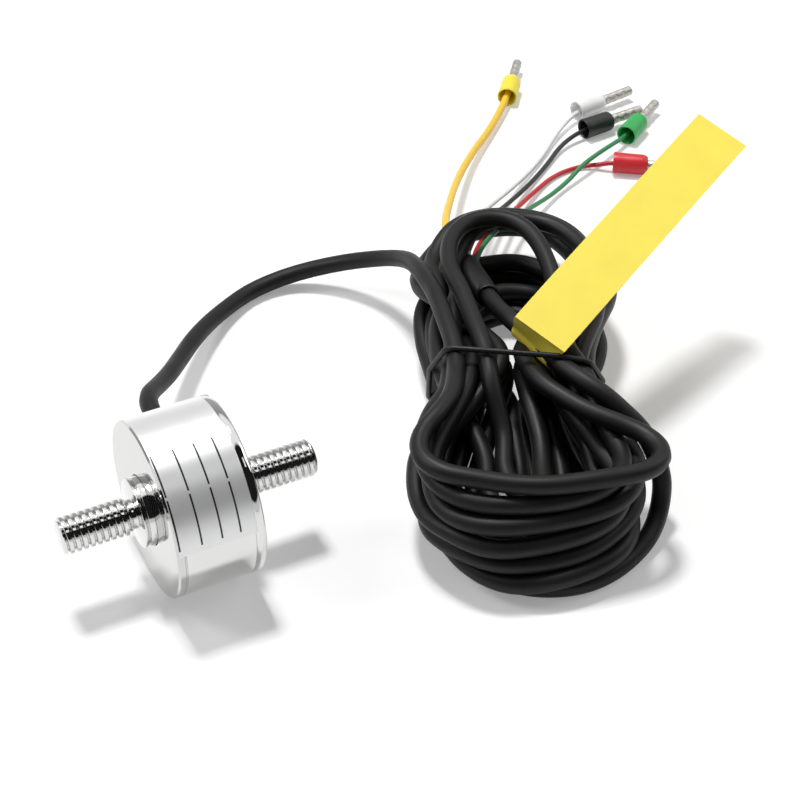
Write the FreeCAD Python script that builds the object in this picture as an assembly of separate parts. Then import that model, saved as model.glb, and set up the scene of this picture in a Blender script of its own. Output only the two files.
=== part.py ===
import FreeCAD, Part
import math
import os

# Inline force sensor with a threaded stud on each face, lying on its side, with its cable in a tied hank.
# Millimetres. X is the load axis, Z is up, and the origin is on the floor under the middle of the body.

# Body
body_radius = 15.0
body_length = 15.0
rim_chamfer = 0.3
cover_thickness = 1.4
cap_thickness = 1.9
spigot_length = 0.5
spigot_wall = 1.5
spigot_clearance = 0.1
front_wall = 3.4
rear_wall = 2.8

# Studs and bosses, the same on both faces; the boss is a share of the body's radius
boss_share = 0.39
boss_height = 1.85
boss_chamfer = 0.3
neck_length = 1.5
neck_radius = 2.5
neck_fillet = 0.5
stud_radius = 3.175
thread_length = 10.95
tip_chamfer = 0.45

# Sensing web, hub and overload stop
web_clearance = 0.3
web_thickness = 1.4
web_fillet = 0.5
web_front_fillet = 0.3
stop_radius = 4.5
stop_length = 1.0
stop_gap = 0.2
cover_bore_clearance = 0.15
seal_length = 0.5
seal_width = 1.3
seal_taper = 0.3

# Strain gauges and the board behind them; a share is of the body's radius
gauge_share = 0.24
gauge_width = 2.4
gauge_thickness = 0.12
gauge_place_share = 0.573
gauge_angles = [45.0, 135.0, 225.0, 315.0]
board_thickness = 0.8
board_inner_share = 0.46
board_clearance = 0.1
resistor_length = 2.0
resistor_width = 1.2
resistor_height = 0.5
resistor_place_share = 0.64
resistor_angles = [200.0, 240.0, 280.0, 320.0]
pin_radius = 0.35
pin_rise = 0.6
pin_tail_share = 0.22
pin_place_share = 0.5535
pin_angles = [60.0, 80.0, 100.0, 120.0]

# Cable exit in the wall of the body
exit_clearance = 0.4
spotface_radius = 3.3
spotface_depth = 0.4
bush_radius = 2.4
bush_flange_radius = 3.2
bush_flange_height = 0.8
bush_bore_clearance = 0.1
board_bush_gap = 0.3
crimp_wall = 0.75
crimp_length = 1.3
jacket_end_share = 0.66
core_radius = 0.45
core_spacing = 0.5
core_bends = [0.9, 1.3, 1.3, 0.9]
relief_length = 5.0
relief_base_radius = 2.7
relief_tip_radius = 2.1

# Rating label, a thin film bent round the side of the body
label_thickness = 0.08
label_start_gap = 0.3
label_end_gap = 1.6
label_start_angle = 8.0
label_end_angle = 126.0

# Cable and its route to the hank: straight out, down to the floor and up again
cable_radius = 1.65
bend_share = 0.45
lead_points = [
    (2.3, 20.4, 15.0), (2.3, 27.4, 15.0), (8.2, 37.6, 12.2), (17.4, 48.2, 7.5), (27.5, 58.5, 3.4),
    (37.0, 65.5, 1.65), (46.8, 67.0, 2.5), (55.6, 62.9, 5.8), (60.8, 54.7, 10.2), (61.6, 45.2, 14.7),
    (59.8, 36.0, 18.2), (58.0, 26.8, 20.2)]

# Hank: long axis near end to far end, tied at its waist
hank_x = 63.5
hank_y = 5.0
hank_turn = 24.0
hank_offset = 2.6
hank_points = 20
waist_half_width = 14.1
lobe_bluntness = 0.6
lobe_start = 0.75
# each level: height, near reach, far reach, half width of the near lobe, of the far lobe
hank_levels = [
    (0.0, 41.5, 47.5, 19.5, 18.5),
    (6.0, 43.5, 49.5, 21.2, 20.5),
    (13.0, 40.5, 47.5, 20.8, 19.2),
    (21.6, 36.5, 44.0, 19.0, 17.2)]
basket_floor = 7.0
near_basket = (-9.0, 11.0, -30.0, -10.0)
far_basket = (-10.0, 8.5, 14.0, 38.0)
tunnel = (-11.0, 5.5, 34.0, 54.0)
tunnel_floor = 8.2
tunnel_roof = 14.6
slot_roundness = 0.35

# Wire tie round the waist
tie_radius = 0.65
tie_center = (63.0, 4.9, 11.85)
tie_side = (0.839, -0.545, 0.0)
tie_up = (-0.106, -0.406, 0.908)
tie_half_width = 14.5
tie_half_height = 12.2
tie_corner = 6.5

# Cable tail, from the waist through the flag to the heat-shrink sleeve
tail_points = [(70.8, -13.2, 19.3), (67.6, -4.5, 20.4), (65.9, 12.5, 20.3), (66.5, 20.0, 18.6), (68.3, 26.5, 16.7)]
sleeve_start = 3.3
sleeve_length = 17.2
sleeve_radius = 2.2
sleeve_tip_radius = 2.05

# Flag label on the tail
flag_width = 10.5
flag_length = 57.0
flag_web_width = 6.0
flag_thickness = 0.35
flag_ring_wall = 0.35
flag_ring_clearance = 0.1
flag_crease = (64.8, 0.3, 25.6)
flag_along = (0.883, 0.401, 0.244)
flag_across = (0.468, -0.796, -0.3)

# Ferrules: a plastic collar over a crimped metal tube
collar_radius = 2.25
collar_length = 7.3
collar_bore = 1.7
collar_bore_depth = 5.5
collar_nose = 0.7
collar_nose_taper = 0.4
pin_tube_radius = 1.05
pin_tube_length = 8.2
crimp_start = 1.2
crimp_pitch = 2.2
crimp_width = 1.1
crimp_count = 3
crimp_depth = 0.35
crimp_flare = 0.52

# Leads: radius, place on the sleeve's end, route, and the ferrule's direction in plan
wire_radius = 0.5
shield_radius = 0.8
leads = {
    "white": (wire_radius, (0.45, 1.3), [
        (75.4, 47.4, 11.9), (82.6, 56.4, 9.8), (92.2, 66.2, 4.6), (102.4, 74.6, 1.2), (112.0, 81.4, 0.6),
        (120.6, 89.0, 1.2)], (127.8, 93.2), (0.988, 0.155)),
    "black": (wire_radius, (-0.45, -1.3), [
        (75.8, 46.6, 10.2), (83.2, 54.8, 8.9), (93.4, 64.6, 3.9), (103.4, 72.6, 1.0), (111.8, 78.6, 0.6),
        (118.9, 84.2, 1.2)], (125.4, 85.9), (0.995, 0.099)),
    "red": (wire_radius, (0.75, -1.1), [
        (77.2, 46.2, 10.2), (85.2, 53.8, 8.7), (95.2, 63.2, 3.4), (104.2, 70.6, 0.9), (112.0, 75.2, 0.5),
        (118.8, 75.6, 0.6), (121.8, 73.7, 1.1)], (124.3, 71.6), (0.82, -0.572)),
    "green": (wire_radius, (1.4, 0.1), [
        (78.8, 46.0, 11.2), (87.2, 53.4, 8.8), (97.4, 61.6, 4.0), (106.4, 67.4, 1.4), (112.6, 70.6, 1.4),
        (117.4, 72.9, 2.8), (122.6, 75.3, 2.8), (127.6, 77.6, 2.4)], (132.4, 79.6), (0.83, 0.558)),
    "shield": (shield_radius, (-1.05, 0.55), [
        (72.2, 47.2, 12.7), (75.4, 55.6, 11.2), (80.4, 63.6, 8.8), (88.5, 75.6, 5.4), (98.6, 87.6, 2.6),
        (108.4, 96.6, 1.5)], (116.9, 105.2), (0.609, 0.793))}

# Worked out from the sizes above
axis_z = body_radius
boss_radius = boss_share * body_radius
front_x = -body_length / 2.0
rear_x = body_length / 2.0
cover_x = front_x + cover_thickness
cap_x = rear_x - cap_thickness
front_bore_radius = body_radius - front_wall
rear_bore_radius = body_radius - rear_wall
web_front_x = cover_x + spigot_length + web_clearance
web_rear_x = web_front_x + web_thickness
exit_x = cap_x - spigot_length - exit_clearance - bush_radius
spotface_y = body_radius - spotface_depth
jacket_end_y = jacket_end_share * body_radius
boss_front_x = front_x - boss_height
stud_start_x = boss_front_x - neck_length
stud_tip_x = stud_start_x - thread_length
board_rear_x = exit_x - bush_radius - board_bush_gap
ledge_x = board_rear_x - board_thickness
gauge_size = gauge_share * body_radius
gauge_radius = gauge_place_share * body_radius
board_inner_radius = board_inner_share * body_radius
resistor_radius = resistor_place_share * body_radius
pin_circle = pin_place_share * body_radius
pin_front_x = ledge_x - pin_tail_share * (ledge_x - web_rear_x)
pin_rear_x = board_rear_x + pin_rise
label_length = body_length - label_start_gap - label_end_gap
flag_ring_radius = cable_radius + flag_ring_clearance + flag_ring_wall
bush_end_y = spotface_y + bush_flange_height
relief_end_y = bush_end_y + relief_length


def vec(point):
    return FreeCAD.Vector(*point)


def unit(point):
    v = vec(point)
    v.normalize()
    return v


def rounded_edges(points, radii, closed=False):
    """Straight runs joined by tangent arcs; a radius of 0 leaves a sharp corner."""
    count = len(points)
    corners = []
    for index in range(count):
        point = points[index]
        radius = radii[index]
        is_end = not closed and index in (0, count - 1)
        if is_end or radius == 0:
            corners.append((point, point, None))
            continue
        back = points[index - 1] - point
        ahead = points[(index + 1) % count] - point
        back.normalize()
        ahead.normalize()
        half = back.getAngle(ahead) / 2.0
        reach = radius / math.tan(half)
        middle = back + ahead
        middle.normalize()
        center = point + middle * (radius / math.sin(half))
        corners.append((point + back * reach, point + ahead * reach, center - middle * radius))
    edges = []
    for index in range(count):
        enter, leave, arc_middle = corners[index]
        if arc_middle is not None:
            edges.append(Part.Arc(enter, arc_middle, leave).toShape())
        if index == count - 1 and not closed:
            break
        following = corners[(index + 1) % count][0]
        if (following - leave).Length > 1e-6:
            edges.append(Part.LineSegment(leave, following).toShape())
    return edges


def turned(profile):
    """A solid turned about the load axis from (x, radius) or (x, radius, fillet) points."""
    points = [vec((p[0], 0.0, p[1])) for p in profile]
    radii = [p[2] if len(p) > 2 else 0 for p in profile]
    wire = Part.Wire(rounded_edges(points, radii, closed=True))
    solid = Part.Face(wire).revolve(vec((0, 0, 0)), vec((1, 0, 0)), 360)
    solid.translate(vec((0, 0, axis_z)))
    return solid


def stud_profile(side):
    """Half section of boss, neck and stud, from the tip's middle to the foot of the boss."""
    points = [
        (stud_tip_x, 0.0),
        (stud_tip_x, stud_radius - tip_chamfer),
        (stud_tip_x + tip_chamfer, stud_radius),
        (stud_start_x, stud_radius),
        (stud_start_x + stud_radius - neck_radius, neck_radius),
        (boss_front_x, neck_radius, neck_fillet),
        (boss_front_x, boss_radius - boss_chamfer),
        (boss_front_x + boss_chamfer, boss_radius)]
    if side < 0:
        return points
    return [(-p[0],) + p[1:] for p in reversed(points)]


def cable_entry(radius, start_y, end_y):
    return Part.makeCylinder(radius, end_y - start_y, vec((exit_x, start_y, axis_z)), vec((0, 1, 0)))


def sensing_element():
    profile = stud_profile(-1) + [
        (web_front_x, boss_radius, web_front_fillet),
        (web_front_x, front_bore_radius, web_front_fillet),
        (cover_x, front_bore_radius),
        (cover_x, body_radius),
        (cap_x, body_radius),
        (cap_x, rear_bore_radius),
        (ledge_x, rear_bore_radius),
        (ledge_x, front_bore_radius),
        (web_rear_x, front_bore_radius, web_fillet),
        (web_rear_x, boss_radius, web_fillet),
        (cap_x - stop_gap - stop_length, boss_radius),
        (cap_x - stop_gap - stop_length, stop_radius),
        (cap_x - stop_gap, stop_radius),
        (cap_x - stop_gap, 0.0)]
    body = turned(profile)
    bore = cable_entry(bush_radius, body_radius / 2.0, body_radius * 2.0)
    spotface = cable_entry(spotface_radius, spotface_y, body_radius * 2.0)
    return body.cut(bore).cut(spotface)


def front_cover():
    bore = boss_radius + cover_bore_clearance
    spigot = front_bore_radius - spigot_clearance
    return turned([
        (front_x, bore),
        (front_x, body_radius - rim_chamfer),
        (front_x + rim_chamfer, body_radius),
        (cover_x, body_radius),
        (cover_x, spigot),
        (cover_x + spigot_length, spigot),
        (cover_x + spigot_length, spigot - spigot_wall),
        (cover_x, spigot - spigot_wall),
        (cover_x, bore)])


def boss_seal():
    return turned([
        (cover_x, boss_radius),
        (cover_x, boss_radius + seal_width),
        (cover_x + seal_length, boss_radius + seal_width - seal_taper),
        (cover_x + seal_length, boss_radius)])


def rear_cap():
    spigot = rear_bore_radius - spigot_clearance
    profile = [
        (cap_x, 0.0),
        (cap_x, spigot - spigot_wall),
        (cap_x - spigot_length, spigot - spigot_wall),
        (cap_x - spigot_length, spigot),
        (cap_x, spigot),
        (cap_x, body_radius),
        (rear_x - rim_chamfer, body_radius),
        (rear_x, body_radius - rim_chamfer),
        (rear_x, boss_radius)]
    return turned(profile + stud_profile(1))


def at_angle(shape, angle):
    """Turn a shape made above the load axis (angle 0 is up, 90 is the cable's side)."""
    shape.rotate(vec((0, 0, axis_z)), vec((1, 0, 0)), -angle)
    return shape


def strain_gauges():
    gauges = []
    for angle in gauge_angles:
        corner = vec((web_rear_x, -gauge_width / 2.0, axis_z + gauge_radius - gauge_size / 2.0))
        gauge = Part.makeBox(gauge_thickness, gauge_width, gauge_size, corner)
        gauges.append(at_angle(gauge, angle))
    return Part.makeCompound(gauges)


def board():
    outer = rear_bore_radius - board_clearance
    disc = turned([
        (ledge_x, board_inner_radius),
        (ledge_x, outer),
        (board_rear_x, outer),
        (board_rear_x, board_inner_radius)])
    for angle in pin_angles:
        disc = disc.cut(board_pin(angle))
    return disc


def board_pin(angle):
    start = vec((pin_front_x, 0, axis_z + pin_circle))
    return at_angle(Part.makeCylinder(pin_radius, pin_rear_x - pin_front_x, start, vec((1, 0, 0))), angle)


def board_resistors():
    blocks = []
    for angle in resistor_angles:
        corner = vec((board_rear_x, -resistor_length / 2.0, axis_z + resistor_radius - resistor_width / 2.0))
        block = Part.makeBox(resistor_height, resistor_length, resistor_width, corner)
        blocks.append(at_angle(block, angle))
    return Part.makeCompound(blocks)


def tube(points, radius, name):
    """A cord's solid: straight runs and arcs as large as the runs allow."""
    route = [vec(p) for p in points]
    radii = [0.0]
    for index in range(1, len(route) - 1):
        back = route[index] - route[index - 1]
        ahead = route[index + 1] - route[index]
        turn = back.getAngle(ahead)
        shorter = min(back.Length, ahead.Length)
        radii.append(bend_share * shorter / math.tan(turn / 2.0))
    radii.append(0.0)
    path = Part.Wire(rounded_edges(route, radii))
    circle = Part.Circle(route[0], route[1] - route[0], radius)
    solid = path.makePipeShell([Part.Wire([circle.toShape()])], True, False)
    expected = math.pi * radius * radius * path.Length
    bends = " ".join("%.1f" % r for r in radii[1:-1])
    print("%s: length %.1f, radii %s, volume %.4f of section times length"
          % (name, path.Length, bends, solid.Volume / expected))
    return solid


def inner_wire(index):
    """From the cable's end to its pin on the board."""
    side_x = (-1, 1, 1, -1)[index] * core_spacing
    side_z = (1, 1, -1, -1)[index] * core_spacing
    angle = math.radians(pin_angles[index])
    pin_y = pin_circle * math.sin(angle)
    pin_z = axis_z + pin_circle * math.cos(angle)
    bend_y = jacket_end_y - core_bends[index]
    points = [
        (exit_x + side_x, jacket_end_y, axis_z + side_z),
        (exit_x + side_x, bend_y, (axis_z + side_z + pin_z) / 2.0),
        (pin_rear_x, pin_y, pin_z)]
    wire = tube(points, core_radius, "inner wire")
    return wire.cut(cable_root()).cut(board_pin(pin_angles[index]))


def entry_bush():
    wall = cable_entry(bush_radius, jacket_end_y + crimp_length, spotface_y)
    flange = cable_entry(bush_flange_radius, spotface_y, bush_end_y)
    bore = cable_entry(cable_radius + bush_bore_clearance, 0.0, bush_end_y)
    return wall.fuse(flange).cut(bore).removeSplitter()


def crimp_ring():
    ring = cable_entry(cable_radius + crimp_wall, jacket_end_y, jacket_end_y + crimp_length)
    return ring.cut(cable_entry(cable_radius, 0.0, body_radius))


def strain_relief():
    base = vec((exit_x, bush_end_y, axis_z))
    cone = Part.makeCone(relief_base_radius, relief_tip_radius, relief_length, base, vec((0, 1, 0)))
    return cone.cut(cable_entry(cable_radius, 0.0, relief_end_y))


def cable_root():
    return cable_entry(cable_radius, jacket_end_y, relief_end_y)


def rating_label():
    """Film bent from low on one side, over the top; angles count from the side opposite the cable."""
    start = front_x + label_start_gap
    corners = [
        vec((start, -body_radius, axis_z)),
        vec((start + label_length, -body_radius, axis_z)),
        vec((start + label_length, -body_radius - label_thickness, axis_z)),
        vec((start, -body_radius - label_thickness, axis_z))]
    section = Part.Face(Part.makePolygon(corners + [corners[0]]))
    upward = vec((-1, 0, 0))
    section.rotate(vec((0, 0, axis_z)), upward, label_start_angle)
    return section.revolve(vec((0, 0, axis_z)), upward, label_end_angle - label_start_angle)


def hank_to_row(side, along, height):
    turn = math.radians(hank_turn)
    return vec((
        hank_x + side * math.cos(turn) + along * math.sin(turn),
        hank_y - side * math.sin(turn) + along * math.cos(turn),
        height))


def hank_outline(level):
    height, near_reach, far_reach, near_half, far_half = level
    points = []
    for index in range(hank_points):
        angle = 2.0 * math.pi * index / hank_points
        along = math.sin(angle)
        side = math.cos(angle)
        reach = far_reach if along > 0 else near_reach
        lobe = far_half if along > 0 else near_half
        swell = math.sin(math.pi / 2.0 * min(1.0, abs(along) / lobe_start)) ** 2
        half_width = waist_half_width + (lobe - waist_half_width) * swell
        blunt = math.copysign(abs(side) ** lobe_bluntness, side)
        offset = hank_offset * swell
        points.append(hank_to_row(offset + half_width * blunt, reach * along, height))
    curve = Part.BSplineCurve()
    curve.interpolate(Points=points, PeriodicFlag=True)
    return Part.Wire([curve.toShape()])


def hank_slot(bounds, floor, roof):
    """A round-ended pocket in the hank, along its long axis."""
    left, right, start, end = bounds
    corners = [(left, start), (right, start), (right, end), (left, end)]
    points = [hank_to_row(side, along, floor) for side, along in corners]
    radius = (right - left) * slot_roundness
    face = Part.Face(Part.Wire(rounded_edges(points, [radius] * 4, closed=True)))
    return face.extrude(vec((0, 0, roof - floor)))


def cable_hank():
    body = Part.makeLoft([hank_outline(level) for level in hank_levels], True, False)
    above = hank_levels[-1][0] + basket_floor
    body = body.cut(hank_slot(near_basket, basket_floor, above))
    body = body.cut(hank_slot(far_basket, basket_floor, above))
    return body.cut(hank_slot(tunnel, tunnel_floor, tunnel_roof))


def tie_wire():
    center = vec(tie_center)
    side = unit(tie_side) * tie_half_width
    up = unit(tie_up) * tie_half_height
    corners = [center - side - up, center + side - up, center + side + up, center - side + up]
    edges = rounded_edges(corners, [tie_corner] * 4, closed=True)
    path = Part.Wire(Part.__sortEdges__(edges))
    first = path.OrderedEdges[0]
    point = first.valueAt(first.FirstParameter)
    direction = first.tangentAt(first.FirstParameter)
    circle = Part.Wire([Part.Circle(point, direction, tie_radius).toShape()])
    return path.makePipeShell([circle], True, False)


def tail_frame():
    """The tail's end: last corner, direction, and two sides of the sleeve."""
    corner = vec(tail_points[-2])
    along = vec(tail_points[-1]) - corner
    along.normalize()
    side = along.cross(vec((0, 0, 1)))
    side.normalize()
    return corner, along, side, side.cross(along)


def sleeve_end():
    corner, along = tail_frame()[:2]
    return corner + along * (sleeve_start + sleeve_length)


def heat_shrink_sleeve():
    corner, along = tail_frame()[:2]
    start = corner + along * sleeve_start
    grip = (vec(tail_points[-1]) - corner).Length - sleeve_start
    main = Part.makeCone(sleeve_radius, sleeve_tip_radius, sleeve_length, start, along)
    bore = Part.makeCylinder(cable_radius, grip, start, along)
    return main.cut(bore)


def flag_frame():
    """Middle of the flag's turn round the tail, and the tail's direction there."""
    middle = (vec(tail_points[1]) + vec(tail_points[2])) * 0.5
    along_tail = vec(tail_points[1]) - vec(tail_points[2])
    along_tail.normalize()
    return middle, along_tail


def flag_rod(radius):
    middle, along_tail = flag_frame()
    return Part.makeCylinder(radius, flag_width, middle - along_tail * (flag_width / 2.0), along_tail)


def flag_label():
    middle, along_tail = flag_frame()
    ring = flag_rod(flag_ring_radius).cut(flag_rod(flag_ring_radius - flag_ring_wall))
    top = middle + vec((0, 0, flag_ring_radius - flag_ring_wall / 2.0))
    crease = vec(flag_crease)
    web = Part.makeLoft([flat_strip(top, along_tail), flat_strip(crease, unit(flag_across))], True, True)
    along = unit(flag_along)
    normal = along.cross(unit(flag_across))
    normal.normalize()
    across = normal.cross(along)
    corner = crease - across * (flag_width / 2.0) - normal * (flag_thickness / 2.0)
    points = [corner, corner + across * flag_width, corner + across * flag_width + along * flag_length,
              corner + along * flag_length]
    strip = Part.Face(Part.makePolygon(points + [corner])).extrude(normal * flag_thickness)
    return ring.fuse([web, strip]).removeSplitter()


def flat_strip(center, along):
    """A level rectangle, as long as the flag's web is wide and as thick as its film."""
    side = vec((0, 0, 1)).cross(along)
    side.normalize()
    half = along * (flag_web_width / 2.0)
    thick = side * (flag_thickness / 2.0)
    corners = [center - half - thick, center + half - thick, center + half + thick, center - half + thick]
    return Part.makePolygon(corners + [corners[0]])


def ferrule_place(spot, direction):
    along = unit((direction[0], direction[1], 0.0))
    return vec((spot[0], spot[1], collar_radius)), along


def ferrule_collar(spot, direction):
    start, along = ferrule_place(spot, direction)
    nose = start + along * (collar_length - collar_nose)
    body = Part.makeCylinder(collar_radius, collar_length - collar_nose, start, along)
    taper = Part.makeCone(collar_radius, collar_radius - collar_nose_taper, collar_nose, nose, along)
    bore = Part.makeCylinder(collar_bore, collar_bore_depth, start, along)
    hole = Part.makeCylinder(pin_tube_radius, collar_length, start, along)
    return body.fuse(taper).cut(bore).cut(hole).removeSplitter()


def ferrule_pin(spot, direction):
    start, along = ferrule_place(spot, direction)
    side = vec((0, 0, 1)).cross(along)
    total = collar_length - collar_bore_depth + pin_tube_length
    base = start + along * collar_bore_depth
    pin = Part.makeCylinder(pin_tube_radius, total, base, along)
    height = pin_tube_radius * 2.0
    for index in range(crimp_count):
        reach = collar_length + crimp_start + crimp_pitch * index
        for face in (-1, 1):
            edge = start + along * reach + side * (face * (pin_tube_radius - crimp_depth)) - vec((0, 0, height / 2.0))
            notch = Part.makePolygon([
                edge, edge + along * crimp_width,
                edge + along * (crimp_width + crimp_depth) + side * (face * crimp_flare),
                edge - along * crimp_depth + side * (face * crimp_flare), edge])
            pin = pin.cut(Part.Face(notch).extrude(vec((0, 0, height))))
    return pin


def lead_tube(name):
    radius, place, route, spot, direction = leads[name]
    side, up = tail_frame()[2:]
    start = sleeve_end() + side * place[0] + up * place[1]
    mouth, pin_along = ferrule_place(spot, direction)
    end = mouth + pin_along * collar_bore_depth
    lead = tube([tuple(start)] + route + [tuple(mouth), tuple(end)], radius, name + " lead")
    return lead.cut(heat_shrink_sleeve())


def build():
    parts = {}
    parts["sensing_element"] = sensing_element()
    parts["front_cover"] = front_cover()
    parts["boss_seal"] = boss_seal()
    parts["rear_cap"] = rear_cap()
    parts["strain_gauges"] = strain_gauges()
    parts["compensation_board"] = board()
    parts["board_resistors"] = board_resistors()
    parts["board_pins"] = Part.makeCompound([board_pin(angle) for angle in pin_angles])
    for index, colour in enumerate(("red", "black", "green", "white")):
        parts["inner_wire_" + colour] = inner_wire(index)
    parts["entry_bush"] = entry_bush()
    parts["crimp_ring"] = crimp_ring()
    parts["rating_label"] = rating_label()
    parts["strain_relief"] = strain_relief()
    parts["cable_root"] = cable_root()
    parts["cable_lead"] = tube(lead_points, cable_radius, "cable lead")
    parts["cable_tail"] = tube(tail_points, cable_radius, "cable tail")
    parts["heat_shrink_sleeve"] = heat_shrink_sleeve()
    parts["tie_wire"] = tie_wire()
    parts["flag_label"] = flag_label()
    hank = cable_hank()
    for name in ("cable_lead", "cable_tail", "heat_shrink_sleeve", "tie_wire"):
        hank = hank.cut(parts[name])
    parts["cable_hank"] = hank.cut(flag_rod(flag_ring_radius))
    for name, lead in leads.items():
        parts["lead_" + name] = lead_tube(name)
        parts["ferrule_collar_" + name] = ferrule_collar(lead[3], lead[4])
        parts["ferrule_pin_" + name] = ferrule_pin(lead[3], lead[4])
    return parts


os.makedirs("parts", exist_ok=True)
for node, shape in build().items():
    print(node, "solids", len(shape.Solids), "valid", shape.isValid(), "volume %.1f" % shape.Volume)
    shape.exportStep("parts/%s.step" % node)
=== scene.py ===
import math

import bmesh
import bpy
import numpy as np
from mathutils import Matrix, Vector


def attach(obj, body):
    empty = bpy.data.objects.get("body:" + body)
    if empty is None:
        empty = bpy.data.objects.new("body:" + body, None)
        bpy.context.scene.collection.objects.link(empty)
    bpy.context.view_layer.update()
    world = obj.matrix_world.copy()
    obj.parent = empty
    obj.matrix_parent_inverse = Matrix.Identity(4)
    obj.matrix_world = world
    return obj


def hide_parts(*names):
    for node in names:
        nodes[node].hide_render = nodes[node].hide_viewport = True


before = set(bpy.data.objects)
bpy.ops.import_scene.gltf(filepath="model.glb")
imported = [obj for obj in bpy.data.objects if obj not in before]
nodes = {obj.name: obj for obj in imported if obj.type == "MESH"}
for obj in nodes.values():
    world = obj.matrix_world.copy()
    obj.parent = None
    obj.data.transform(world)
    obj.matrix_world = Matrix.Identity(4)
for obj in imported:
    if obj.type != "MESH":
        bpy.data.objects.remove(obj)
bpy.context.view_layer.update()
mm = 0.001
body = {"axisHeight": 15.0, "faceAt": 7.5, "sideFrom": 14.6}  # load axis, flat faces, start of the round side
print("frame loaded:", len(nodes), "nodes")


# camera, at the photograph's viewing angle

cameraSetup = {
    "place": (-0.07216, -0.22327, 0.22718), "forward": (0.34139, 0.69075, -0.63742), "lens": 87.39,
    "sensor": 36.0, "near": 0.01, "far": 50.0}

cameraData = bpy.data.cameras.new("sensorCamera")
cameraData.lens = cameraSetup["lens"]
cameraData.sensor_width = cameraSetup["sensor"]
cameraData.clip_start = cameraSetup["near"]
cameraData.clip_end = cameraSetup["far"]
camera = bpy.data.objects.new("sensorCamera", cameraData)
camera.location = cameraSetup["place"]
camera.rotation_euler = Vector(cameraSetup["forward"]).to_track_quat("-Z", "Y").to_euler()
bpy.context.scene.collection.objects.link(camera)
bpy.context.scene.camera = camera


# finishes

class NodeSheet:
    # a node tree, with short ways to add nodes and join them
    def __init__(self, tree):
        self.tree = tree

    def add(self, kind, **settings):
        node = self.tree.nodes.new(kind)
        for key, value in settings.items():
            setattr(node, key, value)
        return node

    def link(self, source, target):
        self.tree.links.new(source, target)

    def maths(self, operation, first, second=None, third=None):
        node = self.add("ShaderNodeMath", operation=operation)
        for index, value in enumerate((first, second, third)):
            if value is None:
                continue
            if isinstance(value, (int, float)):
                node.inputs[index].default_value = value
            else:
                self.link(value, node.inputs[index])
        return node.outputs[0]

    def split(self, source):
        node = self.add("ShaderNodeSeparateXYZ")
        self.link(source, node.inputs["Vector"])
        return node.outputs

    def over(self, factor, first, second):
        # the second colour over the first; each is three numbers or a socket
        node = self.add("ShaderNodeMix", data_type="RGBA")
        self.link(factor, node.inputs["Factor"])
        for key, colour in (("A", first), ("B", second)):
            if isinstance(colour, tuple):
                node.inputs[key].default_value = (*colour, 1.0)
            else:
                self.link(colour, node.inputs[key])
        return node.outputs["Result"]


class Finish(NodeSheet):
    # a material with one Principled shader and the object's own coordinates
    def __init__(self, name, colour, roughness, metal=0.0):
        self.material = bpy.data.materials.new(name)
        self.material.use_nodes = True
        super().__init__(self.material.node_tree)
        self.shader = self.tree.nodes["Principled BSDF"]
        self.shader.inputs["Base Color"].default_value = (*colour, 1.0)
        self.shader.inputs["Roughness"].default_value = roughness
        self.shader.inputs["Metallic"].default_value = metal
        self.place = self.add("ShaderNodeTexCoord").outputs["Object"]
        self.material.diffuse_color = (*colour, 1.0)

    def noise(self, scale, detail=3.0, source=None):
        node = self.add("ShaderNodeTexNoise")
        node.inputs["Scale"].default_value = scale
        node.inputs["Detail"].default_value = detail
        self.link(source or self.place, node.inputs["Vector"])
        return node.outputs["Fac"]

    def roughened(self, value, low, high):
        # the middle of a noise's range, spread over the two roughnesses
        node = self.add("ShaderNodeMapRange")
        for key, setting in (("From Min", 0.3), ("From Max", 0.7), ("To Min", low), ("To Max", high)):
            node.inputs[key].default_value = setting
        self.link(value, node.inputs["Value"])
        self.link(node.outputs["Result"], self.shader.inputs["Roughness"])

    def coloured(self, value, first, second):
        colour = self.over(value, first, second)
        self.link(colour, self.shader.inputs["Base Color"])
        return colour

    def bumped(self, value, strength, depth):
        node = self.add("ShaderNodeBump")
        node.inputs["Strength"].default_value = strength
        node.inputs["Distance"].default_value = depth
        self.link(value, node.inputs["Height"])
        self.link(node.outputs["Normal"], self.shader.inputs["Normal"])


def shaded(colour, factor):
    return tuple(min(1.0, factor * c) for c in colour)


# welded seams round the side: place along the load axis and width, in millimetres
bodySeams = [(-6.28, 0.07), (-6.02, 0.07)]
capSeams = [(5.66, 0.06)]
turning = {"marks": 9000.0, "smudges": 160.0, "dull": 0.95, "bump": (0.02, 0.00002),
           "seamShare": 0.75, "seamColour": (0.10, 0.095, 0.09)}


def turnedSteel(name, colour, low, high, seams=()):
    # fine turning marks run round the load axis
    finish = Finish(name, colour, low, metal=1.0)
    parts = finish.split(finish.place)
    height = finish.maths("SUBTRACT", parts["Z"], body["axisHeight"] * mm)
    square = finish.maths("ADD", finish.maths("MULTIPLY", height, height),
                          finish.maths("MULTIPLY", parts["Y"], parts["Y"]))
    radius = finish.maths("SQRT", square)
    section = finish.add("ShaderNodeCombineXYZ")
    finish.link(parts["X"], section.inputs["X"])
    finish.link(radius, section.inputs["Y"])
    marks = finish.noise(turning["marks"], 2.0, section.outputs["Vector"])
    smudges = finish.noise(turning["smudges"], 4.0)
    finish.roughened(smudges, low, high)
    tone = finish.coloured(smudges, shaded(colour, turning["dull"]), colour)
    if seams:
        along = finish.maths("MULTIPLY", parts["X"], 1.0 / mm)
        onSide = finish.maths("GREATER_THAN", radius, body["sideFrom"] * mm)
        line = None
        for place, width in seams:
            near = finish.maths("COMPARE", along, place, width / 2.0)
            line = finish.maths("MAXIMUM", line, near) if line else near
        line = finish.maths("MULTIPLY", finish.maths("MULTIPLY", line, onSide), turning["seamShare"])
        finish.coloured(line, tone, turning["seamColour"])
    finish.bumped(marks, *turning["bump"])
    return finish


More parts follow.
